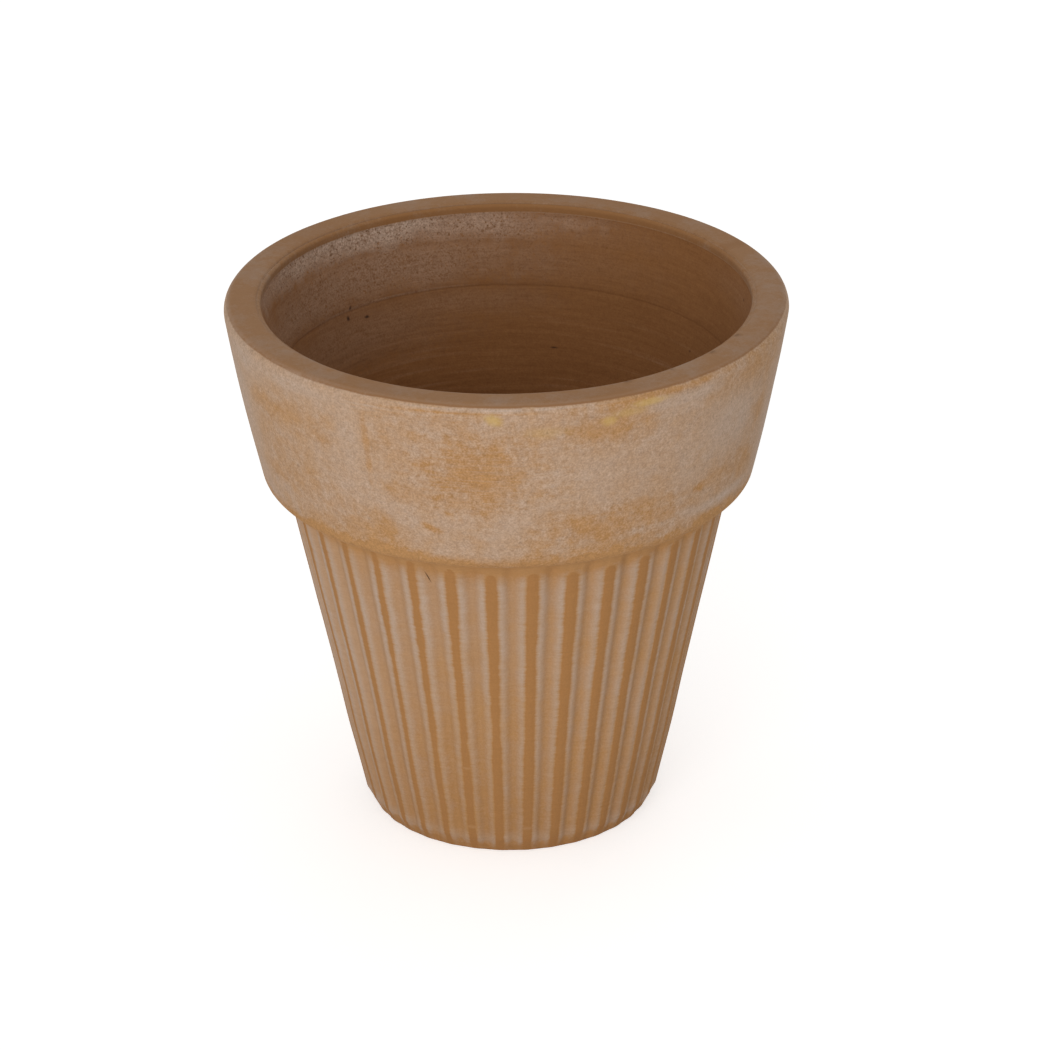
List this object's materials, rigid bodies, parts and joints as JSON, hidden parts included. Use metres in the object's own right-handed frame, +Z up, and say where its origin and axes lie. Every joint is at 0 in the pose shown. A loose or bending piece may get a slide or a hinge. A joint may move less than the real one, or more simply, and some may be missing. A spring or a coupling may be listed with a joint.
{
  "type": "flower pot",
  "caption": "Round flared clay flower pot with a thick overhanging rim band, a flat lip, a fluted wall and a drain hole in its flat foot.",
  "frame": {"origin": "centre of the foot's underside, on the pot's axis", "axes": "+Z up along the pot's axis, -Y through the middle of a flute"},
  "size_m": [0.3, 0.3, 0.296],
  "materials": {
    "washed_clay": "matt fired clay with a thin, wiped whitewash"
  },
  "bodies": {
    "root": {"base_floor": "washed_clay", "fluted_wall": "washed_clay", "rim_band": "washed_clay"}
  },
  "joints": []
}
